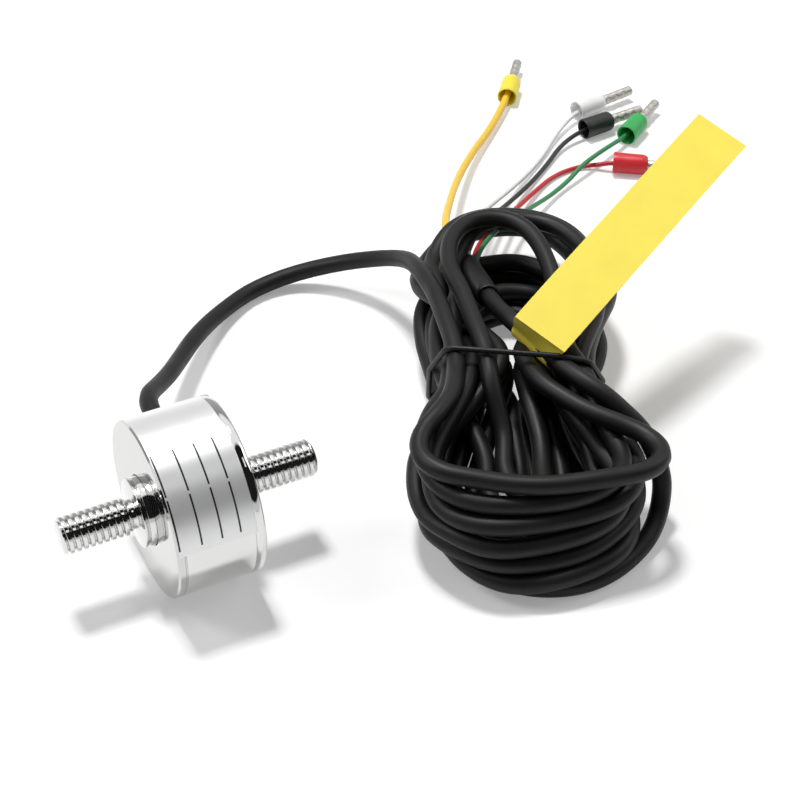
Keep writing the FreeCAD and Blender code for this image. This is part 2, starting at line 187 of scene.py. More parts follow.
jacket = {"grain": 2600.0, "sheen": 120.0, "patches": 70.0, "dark": 0.75, "pale": 1.3,
          "bump": (0.12, 0.00005), "specular": 0.28}


def jacketFinish(name, colour, low, high):
    finish = Finish(name, colour, low)
    finish.roughened(finish.noise(jacket["sheen"]), low, high)
    finish.coloured(finish.noise(jacket["patches"]),
                    shaded(colour, jacket["dark"]), shaded(colour, jacket["pale"]))
    finish.bumped(finish.noise(jacket["grain"]), *jacket["bump"])
    finish.shader.inputs["Specular IOR Level"].default_value = jacket["specular"]
    return finish


moulding = {"sheen": 300.0, "patches": 180.0, "grain": 1800.0, "dark": 0.93, "pale": 1.05,
            "bump": (0.05, 0.00004), "scatterReach": 0.002}


def mouldedFinish(name, colour, low, high, scatter=0.0):
    finish = Finish(name, colour, low)
    finish.roughened(finish.noise(moulding["sheen"]), low, high)
    finish.coloured(finish.noise(moulding["patches"], 2.0),
                    shaded(colour, moulding["dark"]), shaded(colour, moulding["pale"]))
    finish.bumped(finish.noise(moulding["grain"], 2.0), *moulding["bump"])
    if scatter:
        finish.shader.inputs["Subsurface Weight"].default_value = scatter
        finish.shader.inputs["Subsurface Radius"].default_value = (moulding["scatterReach"],) * 3
        finish.shader.inputs["Subsurface Scale"].default_value = 1.0
    return finish


# ruled lines: start along the label and width in millimetres, ends and gap in degrees round the body
label = {"lines": (0.4, 4.1, 7.5, 10.6), "width": 0.3, "lowest": 12.0, "highest": 74.0, "gap": (44.5, 46.5),
         "film": (0.84, 0.84, 0.845), "ink": (0.012, 0.012, 0.014), "metal": 0.58,
         "roughness": (0.3, 0.32, 0.35), "sheen": 220.0, "grain": 5200.0, "bump": (0.05, 0.00001)}


def labelFinish(name):
    # satin silver film with four ruled lines
    base, low, high = label["roughness"]
    finish = Finish(name, label["film"], base, metal=label["metal"])
    parts = finish.split(finish.place)
    height = finish.maths("SUBTRACT", parts["Z"], body["axisHeight"] * mm)
    side = finish.maths("MULTIPLY", parts["Y"], -1.0)
    angle = finish.maths("MULTIPLY", finish.maths("ARCTAN2", height, side), 180.0 / math.pi)
    along = finish.maths("MULTIPLY_ADD", parts["X"], 1.0 / mm, body["faceAt"])
    half = label["width"] / 2.0
    ruled = None
    for place in label["lines"]:
        line = finish.maths("COMPARE", along, place + half, half)
        ruled = finish.maths("ADD", ruled, line) if ruled else line
    ruled = finish.maths("MULTIPLY", ruled, finish.maths("GREATER_THAN", angle, label["lowest"]))
    ruled = finish.maths("MULTIPLY", ruled, finish.maths("LESS_THAN", angle, label["highest"]))
    gapStart, gapEnd = label["gap"]
    inGap = finish.maths("COMPARE", angle, (gapStart + gapEnd) / 2.0, (gapEnd - gapStart) / 2.0)
    ruled = finish.maths("MULTIPLY", ruled, finish.maths("SUBTRACT", 1.0, inGap))
    finish.coloured(ruled, label["film"], label["ink"])
    metal = finish.maths("MULTIPLY_ADD", ruled, -label["metal"], label["metal"])
    finish.link(metal, finish.shader.inputs["Metallic"])
    finish.roughened(finish.noise(label["sheen"], 2.0), low, high)
    finish.bumped(finish.noise(label["grain"], 3.0), *label["bump"])
    return finish


finishes = {
    "steel_body": turnedSteel("polishedBody", (0.68, 0.68, 0.675), 0.03, 0.07, bodySeams),
    # the front cover is the body's steel with a darker base colour: painted shade that stands in for the
    # duller reflection of its flat face
    "steel_cover": turnedSteel("polishedCoverPaintedShade", (0.58, 0.58, 0.575), 0.03, 0.06, bodySeams),
    "steel_cap": turnedSteel("polishedCap", (0.68, 0.68, 0.675), 0.03, 0.07, capSeams),
    "seal": jacketFinish("blackSeal", (0.03, 0.03, 0.035), 0.5, 0.65),
    "gauge_foil": mouldedFinish("gaugeFoil", (0.72, 0.45, 0.14), 0.25, 0.4),
    "board": mouldedFinish("greenBoard", (0.05, 0.24, 0.09), 0.3, 0.45),
    "resistor": mouldedFinish("chipCeramic", (0.04, 0.04, 0.045), 0.4, 0.6),
    "pin_metal": turnedSteel("boardPin", (0.80, 0.68, 0.40), 0.2, 0.35),
    "bush_metal": turnedSteel("bushSteel", (0.62, 0.62, 0.63), 0.18, 0.3),
    "crimp_metal": turnedSteel("crimpBrass", (0.72, 0.60, 0.36), 0.25, 0.4),
    "label_film": labelFinish("silverLabel"),
    "relief_rubber": jacketFinish("reliefRubber", (0.018, 0.018, 0.019), 0.5, 0.65),
    "cable_jacket": jacketFinish("cableJacket", (0.006, 0.006, 0.0065), 0.44, 0.58),
    "heat_shrink": jacketFinish("heatShrink", (0.012, 0.012, 0.013), 0.34, 0.5),
    "tie": jacketFinish("tieCoating", (0.012, 0.012, 0.013), 0.34, 0.46),
    "flag_film": mouldedFinish("yellowFilm", (0.97, 0.79, 0.09), 0.40, 0.50),
    "wire_white": mouldedFinish("whiteWire", (0.84, 0.84, 0.84), 0.3, 0.42),
    "wire_black": mouldedFinish("blackWire", (0.02, 0.02, 0.022), 0.3, 0.42),
    "wire_red": mouldedFinish("redWire", (0.55, 0.02, 0.03), 0.3, 0.42),
    "wire_green": mouldedFinish("greenWire", (0.03, 0.24, 0.08), 0.3, 0.42),
    "wire_shield": mouldedFinish("yellowWire", (0.92, 0.58, 0.05), 0.3, 0.42),
    "collar_white": mouldedFinish("whiteCollar", (0.93, 0.93, 0.92), 0.34, 0.48, 0.4),
    "collar_black": mouldedFinish("blackCollar", (0.013, 0.013, 0.014), 0.34, 0.48),
    "collar_red": mouldedFinish("redCollar", (0.66, 0.02, 0.03), 0.34, 0.48, 0.1),
    "collar_green": mouldedFinish("greenCollar", (0.03, 0.40, 0.09), 0.34, 0.48, 0.1),
    "collar_shield": mouldedFinish("yellowCollar", (0.90, 0.76, 0.06), 0.34, 0.48, 0.1),
    "tinned_copper": turnedSteel("tinnedPin", (0.52, 0.50, 0.47), 0.42, 0.55),
}

nodeFinishes = {
    "sensing_element": "steel_body", "front_cover": "steel_cover", "rear_cap": "steel_cap",
    "boss_seal": "seal", "strain_gauges": "gauge_foil", "compensation_board": "board",
    "board_resistors": "resistor", "board_pins": "pin_metal", "entry_bush": "bush_metal",
    "crimp_ring": "crimp_metal", "rating_label": "label_film", "strain_relief": "relief_rubber",
    "cable_root": "cable_jacket", "cable_lead": "cable_jacket", "cable_hank": "cable_jacket",
    "cable_tail": "cable_jacket", "heat_shrink_sleeve": "heat_shrink", "tie_wire": "tie",
    "flag_label": "flag_film"}
for colour in ("red", "black", "green", "white"):
    nodeFinishes["inner_wire_" + colour] = "wire_" + colour
for colour in ("white", "black", "red", "green", "shield"):
    nodeFinishes["lead_" + colour] = "wire_" + colour
    nodeFinishes["ferrule_collar_" + colour] = "collar_" + colour
    nodeFinishes["ferrule_pin_" + colour] = "tinned_copper"
for name, node in nodes.items():
    finish = finishes[nodeFinishes[name]].material
    if not node.material_slots:
        node.data.materials.append(finish)
    for materialSlot in node.material_slots:
        materialSlot.material = finish
print("finishes made:", len(finishes))


def addPiece(name, data, slot, *replaced):
    piece = bpy.data.objects.new(name, data)
    bpy.context.scene.collection.objects.link(piece)
    data.materials.clear()
    data.materials.append(finishes[slot].material)
    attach(piece, "root")
    if replaced:
        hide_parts(*replaced)
    return piece


def splinePiece(name, points, radius, slot, *replaced, steps=4, sides=4):
    # one smooth open NURBS spline with the given control points, in metres
    curve = bpy.data.curves.new(name, "CURVE")
    curve.dimensions = "3D"
    curve.bevel_depth = radius
    curve.bevel_resolution = sides
    curve.resolution_u = steps
    curve.use_fill_caps = True
    spline = curve.splines.new("NURBS")
    spline.points.add(len(points) - 1)
    for point, place in zip(spline.points, points):
        point.co = (*place, 1.0)
    spline.order_u = 3
    spline.use_endpoint_u = True
    return addPiece(name, curve, slot, *replaced)


def splineLine(piece):
    # the points of a cord's own line, without its thickness
    curve = piece.data.copy()
    curve.bevel_depth = 0.0
    ghost = bpy.data.objects.new("line", curve)
    mesh = bpy.data.meshes.new_from_object(ghost)
    line = np.array([vertex.co[:] for vertex in mesh.vertices])
    bpy.data.objects.remove(ghost)
    bpy.data.meshes.remove(mesh)
    bpy.data.curves.remove(curve)
    return line


def lineLength(line):
    return float(np.linalg.norm(np.diff(line, axis=0), axis=1).sum())


# cable: route out of the body, turns of the hank, tail into the sleeve

cable = {
    "radius": 0.00165,
    "exit": (0.0023, 0.0204, 0.0150),
    "keptEnds": 4,  # points at each end of the hank that stay where the lead and the tail put them
    "lead": [
        (0.0023, 0.0099, 0.0150), (0.0023, 0.0204, 0.0150), (0.0023, 0.0242, 0.0150),
        (0.0037, 0.0284, 0.0140), (0.0071, 0.0332, 0.0112), (0.0112, 0.0386, 0.0086),
        (0.0158, 0.0450, 0.0064), (0.0199, 0.0501, 0.0052), (0.0249, 0.0555, 0.0036),
        (0.0306, 0.0603, 0.0022), (0.0372, 0.0641, 0.00165), (0.0458, 0.0646, 0.0025),
        (0.0541, 0.0600, 0.0056), (0.0598, 0.0524, 0.0099), (0.0613, 0.0440, 0.0147),
        (0.0598, 0.0360, 0.0182), (0.0580, 0.0268, 0.0202)],
    "tail": [
        (0.0676, -0.0045, 0.0204), (0.0659, 0.0125, 0.0203), (0.0665, 0.0200, 0.0186),
        (0.0683, 0.0265, 0.0167)]}

# millimetres, in the hank's own plan: along it, across it and up
hank = {
    "centre": (63.5, 5.0), "alongAxis": (0.407, 0.9135), "acrossAxis": (0.9135, -0.407),
    "pointSpacing": 2.7, "samples": 12, "seed": 11, "looseness": 0.9,
    "nearScatter": (0.6, 0.8, 0.5), "farScatter": (0.6, 0.8, 0.4), "loose": 1.0, "firm": 4.0,
    # one end of a turn: share of its reach, share of its half width, how far its height has settled
    "endPlan": [(0.24, 0.55, 0.28), (0.5, 0.97, 0.75), (0.72, 0.98, 1.0), (0.9, 0.7, 1.0), (0.985, 0.3, 1.0)],
    "tipFrom": 0.8, "tipStart": 0.7, "tipSpan": 0.3, "legLean": 0.45, "fanLate": 0.66, "fanPinch": 0.09,
    # where each turn's two legs pass the waist: across, height
    "leftSlots": [
        (-11.2, 20.8), (-7.2, 20.6), (-12.3, 17.4), (-3.2, 18.4), (-8.6, 17.4), (-12.4, 14.0), (-5.4, 15.0),
        (-9.2, 14.0), (-12.4, 10.6), (-2.0, 9.4), (-9.4, 10.6), (-12.2, 7.2), (-3.5, 14.2), (-9.0, 7.2)],
    "rightSlots": [
        (1.7, 20.4), (11.6, 18.0), (8.3, 19.6), (2.3, 16.8), (12.3, 14.4), (9.0, 15.6), (4.0, 16.6),
        (3.4, 13.2), (12.4, 10.8), (9.2, 12.0), (6.0, 13.0), (1.4, 6.6), (6.2, 6.4), None],
    # each turn's loop at one end: height on the way out, at the tip and back, reach, half width, shift, tilt
    "nearLoops": [
        None, (9.0, 7.0, 8.0, 30.0, 9.5, 5.3, 0.0), (17.0, 16.4, 14.2, 37.4, 18.2, 0.2, 3.0),
        (12.0, 12.0, 12.0, 32.5, 10.0, -6.5, 0.0), (14.1, 13.4, 13.0, 38.0, 18.0, 0.0, 3.5),
        (9.5, 9.0, 9.5, 34.5, 12.0, 5.0, 1.0), (10.4, 9.8, 11.2, 39.3, 18.0, 0.6, 3.0),
        (6.4, 5.6, 6.4, 36.0, 11.0, -3.8, 0.0), (7.4, 6.6, 8.2, 40.0, 17.4, 1.0, 2.5),
        (3.6, 2.8, 3.6, 34.0, 8.6, 6.8, 0.0), (4.6, 3.6, 5.4, 40.4, 16.2, 1.6, 2.0),
        (1.8, 1.65, 2.0, 32.0, 8.6, -5.2, 0.0), (2.0, 1.65, 2.6, 38.6, 13.5, 2.2, 1.0), None],
    "farLoops": [
        None, (17.0, 17.2, 13.5, 43.6, 12.5, 3.0, 0.0), (8.0, 10.0, 8.0, 52.3, 15.4, 1.8, 0.0),
        (3.0, 2.0, 2.0, 38.0, 13.0, 1.3, 0.0), (11.0, 12.5, 9.0, 50.5, 15.0, 1.8, 0.0),
        (5.5, 5.0, 5.5, 36.5, 12.5, 0.0, 0.0), (5.0, 6.4, 4.5, 56.0, 15.4, 2.0, 0.0),
        (8.2, 8.0, 8.4, 39.2, 13.5, 1.0, 0.0), (1.8, 1.65, 1.8, 33.5, 10.5, 2.0, 0.0),
        (5.0, 4.8, 5.4, 31.5, 9.5, 0.0, 0.0), (10.4, 9.4, 9.8, 37.6, 13.0, 1.0, 0.0),
        (8.0, 7.6, 8.0, 32.0, 10.5, 1.5, 0.0), (4.0, 4.4, 3.8, 43.0, 14.0, 1.6, 0.0)],
    # three loops given place by place: along, across, height
    "topLoop": [
        (-6.2, -11.2, 20.8), (-14.1, -12.3, 21.6), (-19.6, -15.1, 21.5), (-23.7, -17.7, 20.6),
        (-27.8, -18.8, 20.0), (-31.5, -16.4, 19.8), (-34.4, -8.0, 19.8), (-35.7, 0.5, 19.8),
        (-34.5, 9.2, 19.5), (-32.3, 16.0, 19.0), (-29.6, 20.7, 18.5), (-26.5, 22.3, 18.2),
        (-23.4, 20.3, 18.2), (-19.8, 15.4, 18.6), (-16.7, 10.4, 19.2), (-12.9, 6.3, 19.8),
        (-8.5, 3.0, 20.4)],
    "raisedLoop": [
        (9.0, 4.2, 19.4), (18.6, 8.2, 17.8), (27.0, 7.9, 18.6), (35.5, 5.2, 19.6), (39.8, 0.0, 20.0),
        (39.1, -5.2, 20.0), (33.1, -9.6, 20.0), (23.8, -10.6, 20.0), (13.2, -8.9, 20.4)],
    "lastLoop": [
        (-16.0, -12.5, 4.6), (-25.0, -14.0, 1.8), (-32.6, -11.4, 1.65), (-37.6, -5.0, 1.65),
        (-39.8, 1.5, 1.65), (-39.4, 7.6, 1.65), (-36.8, 13.0, 1.65), (-32.6, 17.6, 1.65),
        (-28.0, 20.9, 2.5), (-24.0, 22.6, 5.0), (-21.7, 22.6, 9.0), (-17.8, 20.2, 13.6),
        (-15.3, 16.1, 17.0), (-12.0, 11.8, 19.2)]}


def turnEnd(sign, legIn, legOut, loop):
    # ten places round one end of a turn, from the waist and back to it
    zIn, zEnd, zOut, reach, half, shift, tilt = loop
    plan = hank["endPlan"]
    places = []
    for leg, zLeg, hand, steps in ((legIn, zIn, sign, plan), (legOut, zOut, -sign, plan[::-1])):
        for along, across, settled in steps:
            side = hand * half * across + shift
            rise = leg[1] + (zLeg - leg[1]) * settled
            if along >= hank["tipFrom"]:
                rise = zLeg + (zEnd - zLeg) * (along - hank["tipStart"]) / hank["tipSpan"]
            lean = tilt * (side - shift) / half * along
            places.append([sign * reach * along + lean, side, rise])
    if sign < 0:  # the near loops' right legs fan out late
        places[-2][1] = legOut[0] + (places[-2][1] - legOut[0]) * hank["fanLate"]
        places[-3][1] -= hank["fanPinch"] * half
    places[0][1] = legIn[0] + (places[1][1] - legIn[0]) * hank["legLean"]
    places[-1][1] = legOut[0] + (places[-2][1] - legOut[0]) * hank["legLean"]
    return places


def looseEnd(rng, scatter, *end):
    loop = np.array(turnEnd(*end))
    loop += rng.uniform(-1, 1, loop.shape) * hank["looseness"] * np.array(scatter)
    return loop.tolist()


def hankPlaces():
    # every turn in order, and how firmly each place is kept
    rng = np.random.RandomState(hank["seed"])
    leftSlots, loose, firm = hank["leftSlots"], hank["loose"], hank["firm"]
    stretches = []
    for turn, (left, right) in enumerate(zip(leftSlots, hank["rightSlots"])):
        stretches.append(([(0.0, *left)], loose))
        if turn == len(leftSlots) - 1:
            stretches.append((hank["lastLoop"], firm))
        elif turn == 0:
            stretches += [(hank["topLoop"], firm), ([(0.0, *right)], loose), (hank["raisedLoop"], firm)]
        else:
            near = looseEnd(rng, hank["nearScatter"], -1, left, right, hank["nearLoops"][turn])
            far = looseEnd(rng, hank["farScatter"], 1, right, leftSlots[turn + 1], hank["farLoops"][turn])
            stretches += [(near, loose), ([(0.0, *right)], loose), (far, loose)]
    places = [place for stretch, hold in stretches for place in stretch]
    firmness = [hold for stretch, hold in stretches for place in stretch]
    return np.array(places), np.array(firmness)


def windTurns(places, firmness, spacing):
    # the turns' places at an even spacing, close enough for strands to push on each other
    count = len(places)
    chord = np.linalg.norm(np.diff(places, axis=0), axis=1) ** 0.5
    knots = np.concatenate([[0.0], np.cumsum(chord)])
    slopes = np.zeros_like(places)
    for i in range(count):
        a, b = max(i - 1, 0), min(i + 1, count - 1)
        slopes[i] = (places[b] - places[a]) / (knots[b] - knots[a])
    fine, weight = [], []
    for i in range(count - 1):
        span = knots[i + 1] - knots[i]
        for t in np.linspace(0, 1, hank["samples"], endpoint=False):
            a, b = 2 * t**3 - 3 * t**2 + 1, t**3 - 2 * t**2 + t
            c, d = -2 * t**3 + 3 * t**2, t**3 - t**2
            fine.append(a * places[i] + b * span * slopes[i] + c * places[i + 1] + d * span * slopes[i + 1])
            weight.append(firmness[i] * (1 - t) + firmness[i + 1] * t)
    fine.append(places[-1])
    weight.append(firmness[-1])
    fine, weight = np.array(fine), np.array(weight)
    run = np.concatenate([[0.0], np.cumsum(np.linalg.norm(np.diff(fine, axis=0), axis=1))])
    marks = np.linspace(0, run[-1], int(run[-1] / spacing) + 1)
    even = np.stack([np.interp(marks, run, fine[:, axis]) for axis in range(3)], axis=1)
    return even, np.interp(marks, run, weight)


# millimetres; how strands push each other apart and lie down
settling = {
    "gap": 3.42, "rounds": 420, "easeRounds": 200, "bendDepth": 0.45, "lowest": 1.65,
    "pairRounds": 12, "pairReach": 1.6, "alongSkip": 5, "crowding": 0.6,
    "pull": 0.03, "latePull": 0.006, "lateFrom": 0.7,
    "tieAt": -5.0, "tieFlat": 2.0, "tieLength": 6.0, "tieHalfWidth": 12.4, "tieTop": 20.8,
    "sideFlare": 0.09, "topFlare": 0.06}


def easeBends(points, free):
    # opens bends that are tighter than the cable takes
    bend = points[1:-1] - 0.5 * (points[:-2] + points[2:])
    depth = np.linalg.norm(bend, axis=1) + 1e-9
    ease = bend * (np.maximum(depth - settling["bendDepth"], 0.0) / depth)[:, None]
    points[1:-1] -= 0.5 * ease * free[1:-1, None]
    points[:-2] += 0.25 * ease * free[:-2, None]
    points[2:] += 0.25 * ease * free[2:, None]


def closePairs(points):
    index = np.arange(len(points))
    square = (points**2).sum(1)
    distance = square[:, None] + square[None, :] - 2 * points @ points.T
    near = distance < (settling["gap"] + settling["pairReach"]) ** 2
    return np.nonzero(near & (index[None, :] - index[:, None] > settling["alongSkip"]))


def keepInTie(points):
    away = np.maximum(np.abs(points[:, 0] - settling["tieAt"]) - settling["tieFlat"], 0.0)
    tied = away < settling["tieLength"]
    reach = (settling["tieHalfWidth"] + settling["sideFlare"] * away**2)[tied]
    points[tied, 1] = np.clip(points[tied, 1], -reach, reach)
    points[tied, 2] = np.minimum(points[tied, 2], settling["tieTop"] + settling["topFlare"] * away[tied]**2)


def settleStrands(target, firmness, fixedHead, fixedTail):
    # pushes strands apart, on the floor and inside the tie; at some crossings they still press together
    count = len(target)
    gap, rounds = settling["gap"], settling["rounds"]
    free = np.ones(count)
    free[:fixedHead] = 0.0
    free[count - fixedTail:] = 0.0
    for step in range(settling["easeRounds"]):
        easeBends(target, free)
    points = target.copy()
    for step in range(rounds):
        if step % settling["pairRounds"] == 0:
            first, second = closePairs(points)
        pull = settling["pull"] if step < rounds * settling["lateFrom"] else settling["latePull"]
        pull = pull * np.minimum(firmness, hank["firm"])
        moved = (points - target) * (1 - pull * free)[:, None]
        eased = moved.copy()
        eased[1:-1] = 0.5 * moved[1:-1] + 0.25 * (moved[:-2] + moved[2:])
        points = target + eased * free[:, None]
        apart = points[first] - points[second]
        length = np.linalg.norm(apart, axis=1) + 1e-9
        push = np.maximum(gap - length, 0.0) / length * 0.5
        shift = apart * push[:, None]
        total = np.zeros_like(points)
        hits = np.bincount(first, push > 0, count) + np.bincount(second, push > 0, count)
        for axis in range(3):
            ahead, behind = (np.bincount(side, shift[:, axis], count) for side in (first, second))
            total[:, axis] = ahead - behind
        points += total / np.maximum(hits, 1.0)[:, None] ** settling["crowding"] * free[:, None]
        easeBends(points, free)
        easeBends(points, free)
        points[:, 2] = np.maximum(points[:, 2], settling["lowest"])
        keepInTie(points)
    return points


def fromHank(points):
    along, across = hank["alongAxis"], hank["acrossAxis"]
    x = hank["centre"][0] + points[:, 0] * along[0] + points[:, 1] * across[0]
    y = hank["centre"][1] + points[:, 0] * along[1] + points[:, 1] * across[1]
    return np.stack([x, y, points[:, 2]], axis=1) * mm


def toHank(points):
    points = np.asarray(points, float) / mm
    along, across = hank["alongAxis"], hank["acrossAxis"]
    dx, dy = points[:, 0] - hank["centre"][0], points[:, 1] - hank["centre"][1]
    return np.stack([dx * along[0] + dy * along[1], dx * across[0] + dy * across[1], points[:, 2]], axis=1)


places, firmness = hankPlaces()
head, tail = toHank(cable["lead"][-2:]), toHank(cable["tail"][:2])
places = np.concatenate([head, places, tail])
firmness = np.concatenate([[hank["firm"]] * len(head), firmness, [hank["firm"]] * len(tail)])
target, firmness = windTurns(places, firmness, hank["pointSpacing"])
turns = fromHank(settleStrands(target, firmness, cable["keptEnds"], cable["keptEnds"]))
settled = [tuple(place) for place in turns[cable["keptEnds"]:-1]]
cablePoints = cable["lead"][:-1] + settled + cable["tail"][1:]
sensorCable = splinePiece("sensorCable", cablePoints, cable["radius"], "cable_jacket",
                          "cable_root", "cable_lead", "cable_hank", "cable_tail", steps=3, sides=3)
cableLine = splineLine(sensorCable)
print("cable wound:", len(cablePoints), "points,", round(lineLength(cableLine), 4), "m")


# tie round the waist, drawn close to the strands that pass it

tie = {"centre": (63.0, 4.9, 11.85), "side": (0.839, -0.545, 0.0), "up": (-0.106, -0.406, 0.908),
       "radius": 0.5, "reach": 22.0, "directions": 96, "slack": 0.05, "floorGap": 0.02}


def tiePoints():
    centre = np.array(tie["centre"])
    side = np.array(tie["side"]) / np.linalg.norm(tie["side"])
    up = np.array(tie["up"]) - side * np.dot(tie["up"], side)
    up /= np.linalg.norm(up)
    normal = np.cross(side, up)
    line = cableLine / mm - centre
    ahead = line @ normal
    crossings = []
    for i in np.nonzero(ahead[:-1] * ahead[1:] < 0)[0]:
        share = ahead[i] / (ahead[i] - ahead[i + 1])
        spot = line[i] + (line[i + 1] - line[i]) * share
        if abs(spot @ side) < tie["reach"] and abs(spot @ up) < tie["reach"]:
            crossings.append((spot @ side, spot @ up))
    crossings = np.array(crossings)
    grow = cable["radius"] / mm + tie["radius"] + tie["slack"]
    loop = []
    for k in range(tie["directions"]):
        angle = 2 * math.pi * k / tie["directions"]
        towards = np.array([math.cos(angle), math.sin(angle)])
        spot = crossings[np.argmax(crossings @ towards)] + towards * grow
        place = centre + side * spot[0] + up * spot[1]
        loop.append((place[0], place[1], max(place[2], tie["radius"] + tie["floorGap"])))
    return np.array(loop) * mm


tieCurve = bpy.data.curves.new("hankTie", "CURVE")
tieCurve.dimensions = "3D"
tieCurve.bevel_depth = tie["radius"] * mm
tieCurve.bevel_resolution = 3
tieSpline = tieCurve.splines.new("POLY")
tieLoop = tiePoints()
tieSpline.points.add(len(tieLoop) - 1)
for point, place in zip(tieSpline.points, tieLoop):
    point.co = (*place, 1.0)
tieSpline.use_cyclic_u = True
hankTie = addPiece("hankTie", tieCurve, "tie", "tie_wire")
print("tie drawn round the waist")


# leads, from the sleeve's mouth to the ferrules

leadWires = {
    "white": {"radius": 0.0005, "points": [
        (0.07178, 0.03738, 0.01483), (0.07229, 0.03924, 0.01429), (0.0754, 0.0474, 0.0119),
        (0.0826, 0.0564, 0.0098), (0.0922, 0.0662, 0.0046), (0.1024, 0.0746, 0.0012),
        (0.1120, 0.0814, 0.0006), (0.1206, 0.0890, 0.0012), (0.12780, 0.09320, 0.00225),
        (0.13323, 0.09405, 0.00225)]},
    "black": {"radius": 0.0005, "points": [
        (0.07072, 0.03694, 0.01233), (0.07124, 0.03880, 0.01179), (0.0758, 0.0466, 0.0102),
        (0.0832, 0.0548, 0.0089), (0.0934, 0.0646, 0.0039), (0.1034, 0.0726, 0.0010),
        (0.1118, 0.0786, 0.0006), (0.1189, 0.0842, 0.0012), (0.12540, 0.08590, 0.00225),
        (0.13087, 0.08644, 0.00225)]},
    "red": {"radius": 0.0005, "points": [
        (0.07190, 0.03667, 0.01252), (0.07241, 0.03853, 0.01198), (0.0772, 0.0462, 0.0102),
        (0.0852, 0.0538, 0.0087), (0.0952, 0.0632, 0.0034), (0.1042, 0.0706, 0.0009),
        (0.1120, 0.0752, 0.0005), (0.1188, 0.0756, 0.0006), (0.1218, 0.0737, 0.0011),
        (0.12430, 0.07160, 0.00225), (0.12881, 0.06845, 0.00225)]},
    "green": {"radius": 0.0005, "points": [
        (0.07261, 0.03681, 0.01368), (0.07312, 0.03867, 0.01314), (0.0788, 0.0460, 0.0112),
        (0.0872, 0.0534, 0.0088), (0.0974, 0.0616, 0.0040), (0.1064, 0.0674, 0.0014),
        (0.1126, 0.0706, 0.0014), (0.1174, 0.0729, 0.0028), (0.1226, 0.0753, 0.0028),
        (0.1276, 0.0776, 0.0024), (0.13240, 0.07960, 0.00225), (0.13696, 0.08267, 0.00225)]},
    "shield": {"radius": 0.0008, "points": [
        (0.07028, 0.03759, 0.01411), (0.07079, 0.03944, 0.01357), (0.0722, 0.0472, 0.0127),
        (0.0754, 0.0556, 0.0112), (0.0804, 0.0636, 0.0088), (0.0885, 0.0756, 0.0054),
        (0.0986, 0.0876, 0.0026), (0.1084, 0.0966, 0.0015), (0.11690, 0.10520, 0.00225),
        (0.12025, 0.10956, 0.00225)]}}

wirePieces = {}
for name, lead in leadWires.items():
    wirePieces[name] = splinePiece("leadWire_" + name, lead["points"], lead["radius"], "wire_" + name,
                                   "lead_" + name, steps=8, sides=3)
    print("lead", name, round(lineLength(splineLine(wirePieces[name])), 4), "m")


# studs: each CAD piece is cut at its boss's foot, and boss, neck and threaded stud are turned again there

thread = {"pitch": 1.15, "crest": 3.175, "root": 2.64, "start": 10.175, "end": 21.8, "neck": 2.5, "tip": 0.45,
          "rootFlat": 0.03, "flank": 0.47, "runOut": 0.9, "around": 72, "perTurn": 16, "sharp": 48.0,
          "overlap": 0.02}
# distance from the body's middle and radius, in millimetres
bossProfile = [
    (8.46, 5.85), (8.52, 5.80), (8.54, 5.62), (8.78, 5.62), (8.80, 5.74), (8.84, 5.78), (9.27, 5.78),
    (9.33, 5.75), (9.35, 5.68), (9.35, 2.95), (9.38, 2.76), (9.46, 2.62), (9.58, 2.53), (9.75, 2.50),
    (10.10, 2.50)]


def threadRadius(distance, turn):
    share = (distance / thread["pitch"] - turn) % 1.0
    height = min(1.0, max(0.0, (1.0 - abs(2.0 * share - 1.0) - thread["rootFlat"]) / thread["flank"]))
    height = height * height * (3.0 - 2.0 * height)
    radius = thread["root"] + (thread["crest"] - thread["root"]) * height
    radius = min(radius, thread["neck"] + (distance - thread["start"]) * thread["runOut"])
    return min(radius, thread["crest"] - thread["tip"] + (thread["end"] - distance))


def studStations(cutAt):
    # distance of each ring, and its radius where it isn't on the thread
    length = thread["end"] - thread["start"]
    steps = int(length / thread["pitch"] * thread["perTurn"])
    stations = [(cutAt - thread["overlap"], bossProfile[0][1])] + bossProfile
    return stations + [(thread["start"] + length * step / steps, None) for step in range(steps + 1)]


def threadedPiece(name, node, side, slot, cutAt):
    source = bmesh.new()
    source.from_mesh(nodes[node].data)
    bmesh.ops.remove_doubles(source, verts=source.verts, dist=1e-7)
    everything = source.verts[:] + source.edges[:] + source.faces[:]
    bmesh.ops.bisect_plane(source, geom=everything, plane_co=(side * cutAt * mm, 0.0, 0.0),
                           plane_no=(side, 0.0, 0.0), clear_outer=True)
    around = thread["around"]
    axisHeight = body["axisHeight"]
    rings = []
    for distance, plain in studStations(cutAt):
        ring = []
        for k in range(around):
            turn = k / around
            radius = threadRadius(distance, turn * side) if plain is None else plain
            angle = 2 * math.pi * turn
            place = (side * distance, radius * math.cos(angle), axisHeight + radius * math.sin(angle))
            ring.append(source.verts.new([c * mm for c in place]))
        rings.append(ring)
    for near, far in zip(rings, rings[1:]):
        for k in range(around):
            after = (k + 1) % around
            corners = (near[k], near[after], far[after], far[k])
            source.faces.new(corners if side > 0 else corners[::-1])
    middle = source.verts.new((side * thread["end"] * mm, 0.0, axisHeight * mm))
    for k in range(around):
        corners = (rings[-1][k], rings[-1][(k + 1) % around], middle)
        source.faces.new(corners if side > 0 else corners[::-1])
    mesh = bpy.data.meshes.new(name)
    source.to_mesh(mesh)
    source.free()
    for polygon in mesh.polygons:
        polygon.use_smooth = True
    mesh.set_sharp_from_angle(angle=math.radians(thread["sharp"]))
    return addPiece(name, mesh, slot, node)


threadedPiece("threadedElement", "sensing_element", -1, "steel_body", cutAt=7.4)
threadedPiece("threadedCap", "rear_cap", 1, "steel_cap", cutAt=7.52)
print("threads cut")


# flag: one doubled strip of film that goes round the cable's tail

